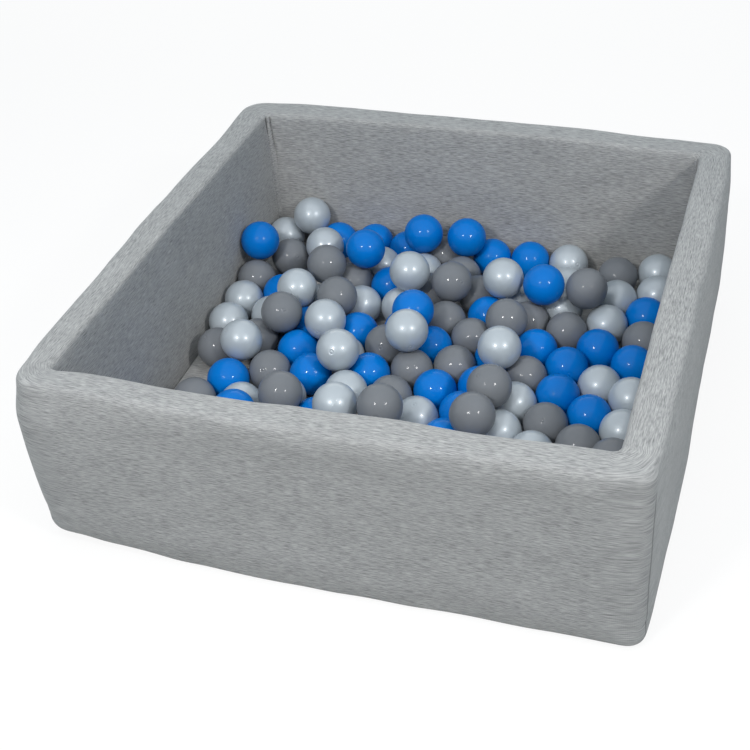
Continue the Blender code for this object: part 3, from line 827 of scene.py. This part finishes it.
    def pucker_corners(self, ring, sizes):
        """Draws the cloth into folds below the rim, where it turns the inner corners."""
        points, normals = points_of(ring), normals_of(ring)
        ways = np.empty(len(ring.data.loops) * 2, np.float32)
        ring.data.uv_layers["seams"].data.foreach_get("uv", ways)
        beside = np.zeros(len(points))
        beside[face_corners(ring.data)] = ways.reshape(-1, 2)[:, 0]
        down = sizes.height - points[:, 2]
        inner = np.abs(points[:, :2]).max(axis=1) < sizes.half - sizes.wall * 0.75
        back_left = (points[:, 0] < 0) & (points[:, 1] > 0)
        sunk = np.zeros(len(points))
        for start, drift, depth, long, at_back_left in PUCKERS:
            line = start + drift * down
            fade = soft_step(-0.002, 0.008, down) * soft_step(long, long * 0.3, down)
            profile = np.exp(-((beside - line) / PUCKER_WIDTH) ** 2)
            sunk += (back_left == at_back_left) * depth * fade * profile
        move_points(ring, points - normals * (sunk * inner)[:, None])

    def way_round(self, rest, sizes):
        """Each point's way along the walls, the length of one wall, its depth in the wall and its way out."""
        pivot = arc_middle(sizes)
        arc = math.pi / 2 * (sizes.inner_round + sizes.wall * 0.5)
        quarter = 2 * pivot + arc
        x, y, z = rest.T
        offset = np.maximum(np.abs(rest[:, :2]) - pivot, 0)
        turn = np.arctan2(offset[:, 0], offset[:, 1])
        along = np.zeros(len(rest))
        quadrants = (
            (-y > np.abs(x) - 1e-9, x, turn),
            (x > np.abs(y), y, np.pi / 2 - turn),
            (y > np.abs(x) - 1e-9, -x, turn),
            (-x > np.abs(y), -y, np.pi / 2 - turn),
        )
        for number, (mine, across, angle) in enumerate(quadrants):
            share = np.clip(across, -pivot, pivot) + np.sign(across) * arc * angle / (math.pi / 2)
            along = np.where(mine, number * quarter + share, along)
        corner = (offset > 0).all(axis=1)
        reach = np.where(corner, pivot + np.linalg.norm(offset, axis=1), np.abs(rest[:, :2]).max(axis=1))
        depth = np.clip(sizes.half - reach, 0, sizes.wall)
        out = np.sign(rest[:, :2]) * offset / np.maximum(np.linalg.norm(offset, axis=1), 1e-9)[:, None]
        return along, quarter, depth, out

    def lay_grain(self, ring, sizes):
        """UV maps in metres: the grain along the walls and round their section, and the way to the seams."""
        rest = points_of(ring)
        along, quarter, depth, _ = self.way_round(rest, sizes)
        inside = depth > sizes.wall / 2
        down = sizes.height - rest[:, 2]
        round_wall = np.where(inside, depth + down, depth - down)
        front_left = (rest[:, :2] < 0).all(axis=1)
        shift = np.where(inside, 0, np.where(front_left, FRONT_LEFT_SEAM_SHIFT, SEAM_SHIFT))
        seam = (along - shift - quarter / 2 + quarter * 8.5) % quarter - quarter / 2
        outer_seam = soft_step(0.024, 0.045, down) * (depth < sizes.wall * 0.4)
        strength = outer_seam + soft_step(0.004, 0.012, down) * inside
        mesh = ring.data
        corner_of = face_corners(mesh)
        starts = np.repeat([p.loop_start for p in mesh.polygons], [p.loop_total for p in mesh.polygons])
        whole = 4 * quarter
        rows = along[corner_of]
        rows -= whole * np.round((rows - rows[starts]) / whole)
        write_uv(mesh, "grain", rows, round_wall[corner_of])
        rows = seam[corner_of]
        rows -= quarter * np.round((rows - rows[starts]) / quarter)
        write_uv(mesh, "seams", rows, strength[corner_of])


def plan_grain(piece):
    """Grain that runs straight across a flat piece, far from any seam."""
    plan = points_of(piece)[face_corners(piece.data)]
    write_uv(piece.data, "grain", plan[:, 0], plan[:, 1])
    write_uv(piece.data, "seams", np.ones(len(plan)), np.zeros(len(plan)))


class PIT_OT_padded_floor(Operator):
    """Make the padded floor between the walls"""
    bl_idname = "pit.padded_floor"
    bl_label = "Padded Floor"

    def execute(self, context):
        sizes, colours = context.scene.pit_sizes, context.scene.pit_colours
        half = sizes.half - sizes.wall - 0.0005
        bottom, top = BASE_TOP + SEAT_GAP, FLOOR_TOP - LEAST_GAP
        size = (2 * half, 2 * half, top - bottom)
        floor = start_piece("padded_floor", "cube", size, size=1, location=(0, 0, (top + bottom) / 2))
        with editing(floor, "EDGE"):
            pick(floor, "edges", lambda e: abs(e.verts[0].co.z - e.verts[1].co.z) > size[2] / 2)
            bpy.ops.mesh.bevel(offset=0.006, segments=2)
            pick(floor, "edges", lambda e: min(v.co.z for v in e.verts) > top - 0.001)
            bpy.ops.mesh.bevel(offset=0.006, segments=3)
            steps = round(2 * half / (sizes.grid * 1.5))
            for axis in (0, 1):
                for step in range(1, steps):
                    cut(-half + 2 * half * step / steps, axis)
            select_whole()
            bpy.ops.mesh.remove_doubles(threshold=2 * MERGE)
            turn_outward()
        rest = points_of(floor)
        rim = np.abs(rest[:, :2]).max(axis=1)
        held = ((rest[:, 2] < top - 0.012) | (rim > half - 0.004)).astype(float)
        puff_up(floor, held, 0.0012)
        add_waves(floor, 0.0004, 0.07)
        points = points_of(floor)
        points[:, 2] = np.maximum(points[:, 2], BASE_TOP + LEAST_GAP)
        points[:, :2] = np.clip(points[:, :2], -half, half)
        move_points(floor, points)
        plan_grain(floor)
        smooth(floor, 50)
        dress(floor, melange_jersey(colours), "pit", "cover", "foam_floor", "cover_floor")
        return {"FINISHED"}


class PIT_OT_base_panel(Operator):
    """Make the cloth panel under the pit"""
    bl_idname = "pit.base_panel"
    bl_label = "Base Panel"

    def execute(self, context):
        sizes, colours = context.scene.pit_sizes, context.scene.pit_colours
        low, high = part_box("cover_base")
        span = high.x - low.x - 2 * (sizes.foot_round - 0.002)
        panel = start_piece("base_panel", "plane", (span, span, 1), size=1, location=(0, 0, high.z))
        with editing(panel):
            select_whole()
            bpy.ops.mesh.bevel(affect="VERTICES", offset=0.034, segments=6)
            pick(panel, "faces", lambda face: True)
            bpy.ops.mesh.inset(thickness=0.006, use_even_offset=True)
            bpy.ops.transform.translate(value=(0, 0, -0.0002))
        add_modifier(panel, "SOLIDIFY", thickness=high.z - 0.0003, offset=-1)
        apply_modifiers(panel)
        points = points_of(panel)
        points[:, 2] = np.maximum(points[:, 2], 0)
        move_points(panel, points)
        plan_grain(panel)
        smooth(panel, 40)
        dress(panel, melange_jersey(colours), "pit", "cover", "cover_base")
        return {"FINISHED"}


# Balls

def ball_middles(name, offsets):
    """Middles of the balls in a CAD node: places that many of its points agree on."""
    points = np.unique(np.round(points_of(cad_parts[name]), 6), axis=0)
    votes = (points[:, None] - offsets[None]).reshape(-1, 3)
    found = []
    while len(votes):
        cells, counts = np.unique(np.round(votes / VOTE_CELL).astype(int), axis=0, return_counts=True)
        best = cells[counts.argmax()] * VOTE_CELL
        near = np.linalg.norm(votes - best, axis=1) < 0.0006
        if near.sum() < LEAST_VOTES:
            break
        middle = np.median(votes[near], axis=0)
        found.append(middle)
        votes = votes[np.linalg.norm(votes - middle, axis=1) > 0.030]
    return found


def camera_axes():
    turn, tilt, roll = EYE_TURNS
    forward = Vector((math.sin(turn) * math.cos(tilt), math.cos(turn) * math.cos(tilt), -math.sin(tilt)))
    level = Vector((math.cos(turn), -math.sin(turn), 0))
    above = level.cross(forward)
    right = level * math.cos(roll) + above * math.sin(roll)
    up = above * math.cos(roll) - level * math.sin(roll)
    return right, up, forward


def picture_point(place):
    right, up, forward = camera_axes()
    way = Vector(place) - EYE
    scale = PICTURE_FOCUS / way.dot(forward)
    return PICTURE_SIZE / 2 + scale * way.dot(right), PICTURE_SIZE / 2 - scale * way.dot(up)


def colours_of_joined(middles):
    """The colour of each joined ball, from the nearest picture point that is still free."""
    points = [(name, point) for name, group in LOWER_BALL_POINTS.items() for point in group]
    seen = np.array([picture_point(middle) for middle in middles])
    targets = np.array([point for _, point in points])
    apart = np.linalg.norm(seen[:, None] - targets[None], axis=2)
    named = {}
    taken = set()
    for flat in np.argsort(apart, axis=None):
        ball, point = divmod(int(flat), len(points))
        if apart[ball, point] > COLOUR_REACH:
            break
        if ball not in named and point not in taken:
            named[ball] = points[point][0]
            taken.add(point)
    turns = ("blue", "grey", "pearl")
    return [named.get(k, turns[k % 3]) for k in range(len(middles))]


def part_balls(middles, radius):
    """Moves balls that lie in each other apart by the least way."""
    places = np.array(middles)
    for _ in range(PARTING_STEPS):
        apart = places[:, None] - places[None]
        far = np.linalg.norm(apart, axis=2)
        np.fill_diagonal(far, 1)
        lack = np.maximum(2 * radius + 0.0001 - far, 0)
        places += (apart / far[..., None] * (lack * 0.4)[..., None]).sum(axis=1)
        places[:, 2] = np.maximum(places[:, 2], FLOOR_TOP + radius + 0.0012)
    return places


def model_ball(radius, mould_line):
    """A blown ball with its mould line, and the small mark where it was filled."""
    ball = start_piece("ball_pattern", "uv_sphere", segments=40, ring_count=20, radius=radius)
    with editing(ball):
        for height in MOULD_LINE_CUTS:
            for side in (-1, 1):
                cut(side * height, 2)
        select_whole()
        bpy.ops.transform.tosphere(value=1)
        bpy.ops.mesh.select_mode(type="FACE")
        pick(ball, "faces", lambda face: face.calc_center_median().z > radius * 0.99)
        bpy.ops.mesh.inset(thickness=radius * 0.05, use_even_offset=True)
        bpy.ops.mesh.inset(thickness=MARK_LIP, depth=-MARK_DEPTH)
        bpy.ops.mesh.inset(thickness=MARK_INNER, use_even_offset=True)
        bpy.ops.mesh.inset(thickness=MARK_LIP, depth=MARK_LIP)
    points = points_of(ball)
    points *= radius / np.median(np.linalg.norm(points, axis=1))
    middle = np.abs(points[:, 2]) < 0.0001
    points[middle, :2] *= (radius + mould_line) / radius
    move_points(ball, points)
    smooth(ball)
    return ball


def make_balls(context, groups):
    """One piece for each CAD node, its balls turned by chance."""
    sizes, colours = context.scene.pit_sizes, context.scene.pit_colours
    finishes = {"blue": blue_plastic(colours), "grey": grey_plastic(colours), "pearl": pearl_plastic(colours)}
    pattern = model_ball(sizes.ball / 2, sizes.mould_line)
    chance = random.Random(context.scene.pit_light.seed)
    for name, body, slot, balls in groups:
        made = []
        for middle, tone in balls:
            mesh = pattern.data.copy()
            turn = Euler([chance.uniform(0, math.tau) for _ in range(3)]).to_matrix().to_4x4()
            mesh.transform(Matrix.Translation(middle) @ turn)
            mesh.materials.append(finishes[tone])
            ball = bpy.data.objects.new(f"{name}_ball", mesh)
            context.scene.collection.objects.link(ball)
            made.append(ball)
        select_only(*made)
        if len(made) > 1:
            bpy.ops.object.join()
        made[0].name = made[0].data.name = f"{name}_round"
        dress(made[0], None, body, slot, name)
    bpy.data.objects.remove(pattern)


def all_ball_groups(context):
    """The balls of every CAD node: middle and colour."""
    radius = context.scene.pit_sizes.ball / 2
    singles = {name: sum(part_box(name), Vector()) / 2 for name in SINGLE_BALLS}
    first = SINGLE_BALLS[0]
    offsets = np.unique(np.round(points_of(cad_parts[first]), 6), axis=0) - np.array(singles[first])
    joined = {name: ball_middles(name, offsets) for name in JOINED_BALLS}
    lower = [middle for name in JOINED_BALLS for middle in joined[name]]
    tones = colours_of_joined(lower)
    places = part_balls([*singles.values(), *lower], radius)
    rows = list(zip(places, [name.split("_")[0] for name in SINGLE_BALLS] + tones))
    groups = {name: [rows[k]] for k, name in enumerate(SINGLE_BALLS)}
    next_row = len(SINGLE_BALLS)
    for name in JOINED_BALLS:
        groups[name] = rows[next_row:next_row + len(joined[name])]
        next_row += len(joined[name])
    return groups


class PIT_OT_single_balls(Operator):
    """Make the upper balls, which lift out one by one"""
    bl_idname = "pit.single_balls"
    bl_label = "Single Balls"

    def execute(self, context):
        groups = all_ball_groups(context)
        slots = {"blue": "ball_blue", "grey": "ball_grey", "pearl": "ball_pearl"}
        rows = [(name, name, slots[name.split("_")[0]], groups[name]) for name in SINGLE_BALLS]
        make_balls(context, rows)
        return {"FINISHED"}


class PIT_OT_joined_balls(Operator):
    """Make the lower balls, which carry the others"""
    bl_idname = "pit.joined_balls"
    bl_label = "Joined Balls"

    def execute(self, context):
        groups = all_ball_groups(context)
        make_balls(context, [(name, "pit", "balls_joined", groups[name]) for name in JOINED_BALLS])
        return {"FINISHED"}


# Zip

def repeat_along(piece, count, pitch):
    """Repeats a piece along the zip, in its own mesh."""
    add_modifier(piece, "ARRAY", count=count, use_relative_offset=False, use_constant_offset=True,
                 constant_offset_displace=(pitch, 0, 0))
    apply_modifiers(piece)


class PIT_OT_zip_tapes(Operator):
    """Make the two woven tapes of the zip"""
    bl_idname = "pit.zip_tapes"
    bl_label = "Zip Tapes"

    def execute(self, context):
        colours = context.scene.pit_colours
        for row in ("upper", "lower"):
            low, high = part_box(f"zip_tape_{row}")
            tape = start_piece(f"woven_tape_{row}", "cube", high - low, size=1, location=(low + high) / 2)
            with editing(tape, "EDGE"):
                pick(tape, "edges", edge_length_over((high.x - low.x) / 2))
                bpy.ops.mesh.bevel(offset=0.0003, segments=2)
                pick(tape, "edges", edge_length_over((high.x - low.x) / 2))
                bpy.ops.mesh.subdivide(number_cuts=160)
            points = points_of(tape)
            outer = points[:, 1] > (low.y + high.y) / 2
            points[outer, 1] -= 0.00012 * (1 + np.sin(points[outer, 0] / 0.0021))
            move_points(tape, points)
            smooth(tape, 40)
            dress(tape, woven_tape(colours), "pit", None, f"zip_tape_{row}")
        return {"FINISHED"}


class PIT_OT_zip_teeth(Operator):
    """Make the two rows of zip teeth"""
    bl_idname = "pit.zip_teeth"
    bl_label = "Zip Teeth"

    def execute(self, context):
        sizes, colours = context.scene.pit_sizes, context.scene.pit_colours
        for row, way in (("upper", 1), ("lower", -1)):
            low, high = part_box(f"zip_coil_{row}")
            pitch = sizes.tooth_pitch
            count = int((high.x - low.x - pitch) / pitch)
            size = Vector((pitch * 0.62, high.y - low.y, high.z - low.z + 0.0003))
            start = low.x + pitch * (0.5 if way > 0 else 0.95)
            middle = (start, (low.y + high.y) / 2, (low.z + high.z) / 2 - way * 0.00015)
            teeth = start_piece(f"zip_teeth_{row}", "cube", size, size=1, location=middle)
            with editing(teeth, "EDGE"):
                pick(teeth, "edges", lambda e: all((v.co.z - middle[2]) * way < 0 for v in e.verts))
                bpy.ops.mesh.bevel(offset=pitch * 0.16, segments=2)
                pick(teeth, "verts", lambda v: (v.co.z - middle[2]) * way > 0)
                bpy.ops.transform.resize(value=(0.72, 1, 1))
            repeat_along(teeth, count, pitch)
            smooth(teeth, 45)
            dress(teeth, zip_nylon(colours), "pit", None, f"zip_coil_{row}")
        return {"FINISHED"}


class PIT_OT_zip_stitches(Operator):
    """Make the stitches that hold the cloth to the tapes"""
    bl_idname = "pit.zip_stitches"
    bl_label = "Zip Stitches"

    def execute(self, context):
        sizes, colours = context.scene.pit_sizes, context.scene.pit_colours
        low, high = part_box("zip_tape_lower")[0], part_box("zip_tape_upper")[1]
        pitch = sizes.stitch * 1.25
        count = int((high.x - low.x) / pitch)
        rows = []
        for name, height in (("upper", high.z - 0.0016), ("lower", low.z + 0.0016)):
            stitches = start_piece(
                f"stitches_{name}", "cylinder", vertices=6, radius=0.00028, depth=sizes.stitch,
                location=(low.x + pitch / 2, high.y + 0.00008, height), rotation=(0, math.pi / 2, 0))
            with editing(stitches, "EDGE"):
                pick(stitches, "edges", lambda e: e.calc_length() < sizes.stitch / 2)
                bpy.ops.mesh.bevel(offset=0.00012, segments=1)
            repeat_along(stitches, count, pitch)
            rows.append(stitches)
        select_only(*rows)
        bpy.ops.object.join()
        rows[0].name = rows[0].data.name = "zip_stitches"
        smooth(rows[0])
        dress(rows[0], sewing_thread(colours), "pit", None)
        return {"FINISHED"}


class PIT_OT_zip_metal(Operator):
    """Finish the slider, the pull tab and the stops"""
    bl_idname = "pit.zip_metal"
    bl_label = "Zip Metal"

    def execute(self, context):
        colours = context.scene.pit_colours
        for name in ("zip_slider", "zip_pull_tab", "zip_stop_left", "zip_stop_right"):
            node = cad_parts[name]
            node.data.materials.clear()
            node.data.materials.append(zip_metal(colours))
            add_modifier(node, "WELD", merge_threshold=0.00001)
            add_modifier(node, "BEVEL", width=0.00015, segments=2, limit_method="ANGLE")
        return {"FINISHED"}


# Stage

class PIT_OT_stage(Operator):
    """Make the floor, the lights and the camera"""
    bl_idname = "pit.stage"
    bl_label = "Stage"

    def execute(self, context):
        light = context.scene.pit_light
        self.floor(context.scene.pit_colours)
        lamps = (
            ("lamp_left", (-0.16, -0.68, 0.71), light.left_power),
            ("lamp_right", (0.63, -0.41, 0.66), light.right_power),
        )
        for name, way, power in lamps:
            self.lamp(name, Vector(way).normalized() * light.lamp_distance, "DISK", light.lamp_size, power)
        panel = self.lamp("panel", Vector((0.0, -0.75, 2.2)), "SQUARE", light.panel_size, light.panel_power)
        fill = self.lamp("fill", Vector((-0.8, 2.7, 0.5)), "SQUARE", light.panel_size, light.fill_power)
        panel.visible_glossy = False
        fill.data.color = (1, 0.95, 0.88)
        self.sky(light.sky)
        self.camera()
        return {"FINISHED"}

    def floor(self, colours):
        floor = start_piece("floor", "plane", size=14, location=(0, 0, -0.0004))
        with editing(floor, "FACE"):
            select_whole()
            bpy.ops.mesh.subdivide(number_cuts=6)
        floor.data.materials.append(pale_floor(colours))

    def lamp(self, name, place, shape, size, power):
        bpy.ops.object.light_add(type="AREA", location=place)
        lamp = bpy.context.object
        lamp.name = name
        lamp.data.shape = shape
        lamp.data.size = size
        lamp.data.energy = power
        lamp.data.color = (1, 0.98, 0.95)
        lamp.rotation_euler = (-place).to_track_quat("-Z", "Y").to_euler()
        return lamp

    def sky(self, strength):
        world = bpy.data.worlds.new("even_light")
        bpy.context.scene.world = world
        world.use_nodes = True
        nodes, links = world.node_tree.nodes, world.node_tree.links
        even, rays = nodes["Background"], nodes.new("ShaderNodeLightPath")
        white, mix = nodes.new("ShaderNodeBackground"), nodes.new("ShaderNodeMixShader")
        even.inputs["Color"].default_value = (0.57, 0.82, 1.0, 1)
        even.inputs["Strength"].default_value = strength
        white.inputs["Color"].default_value = (1, 1, 1, 1)
        white.inputs["Strength"].default_value = 1
        seen = rays.outputs["Is Camera Ray"]
        for kind in BACKGROUND_RAYS:
            either = nodes.new("ShaderNodeMath")
            either.operation = "MAXIMUM"
            links.new(seen, either.inputs[0])
            links.new(rays.outputs[kind], either.inputs[1])
            seen = either.outputs[0]
        links.new(seen, mix.inputs[0])
        links.new(even.outputs[0], mix.inputs[1])
        links.new(white.outputs[0], mix.inputs[2])
        links.new(mix.outputs[0], nodes["World Output"].inputs["Surface"])

    def camera(self):
        right, up, forward = camera_axes()
        data = bpy.data.cameras.new("camera")
        data.sensor_width = 36
        data.lens = PICTURE_FOCUS / PICTURE_SIZE * data.sensor_width
        data.clip_start = 0.05
        camera = bpy.data.objects.new("camera", data)
        bpy.context.scene.collection.objects.link(camera)
        camera.matrix_world = Matrix.Translation(EYE) @ Matrix((right, up, -forward)).transposed().to_4x4()
        bpy.context.scene.camera = camera


OPERATORS = (
    PIT_OT_padded_walls,
    PIT_OT_padded_floor,
    PIT_OT_base_panel,
    PIT_OT_single_balls,
    PIT_OT_joined_balls,
    PIT_OT_zip_tapes,
    PIT_OT_zip_teeth,
    PIT_OT_zip_stitches,
    PIT_OT_zip_metal,
    PIT_OT_stage,
)


class PIT_PT_sidebar(Panel):
    """Makes each part of the pit, and shows its sizes and colours"""
    bl_idname = "PIT_PT_sidebar"
    bl_label = "Ball Pit"
    bl_space_type = "VIEW_3D"
    bl_region_type = "UI"
    bl_category = "Ball Pit"

    def draw(self, context):
        for operator in OPERATORS:
            self.layout.operator(operator.bl_idname)
        for name in ("pit_sizes", "pit_colours", "pit_light"):
            box = self.layout.box()
            settings = getattr(context.scene, name)
            for setting in settings.bl_rna.properties.keys():
                if setting not in ("rna_type", "name"):
                    box.prop(settings, setting)


GROUPS = {"pit_sizes": PitSizes, "pit_colours": PitColours, "pit_light": PitLight}


def register():
    for made in (*GROUPS.values(), *OPERATORS, PIT_PT_sidebar):
        bpy.utils.register_class(made)
    for name, group in GROUPS.items():
        setattr(bpy.types.Scene, name, PointerProperty(type=group))


def unregister():
    for name in GROUPS:
        delattr(bpy.types.Scene, name)
    for made in reversed((*GROUPS.values(), *OPERATORS, PIT_PT_sidebar)):
        bpy.utils.unregister_class(made)


def main():
    register()
    bpy.context.scene.view_settings.view_transform = "Standard"
    for operator in OPERATORS:
        _, name = operator.bl_idname.split(".")
        getattr(bpy.ops.pit, name)()


if __name__ == "__main__":
    main()
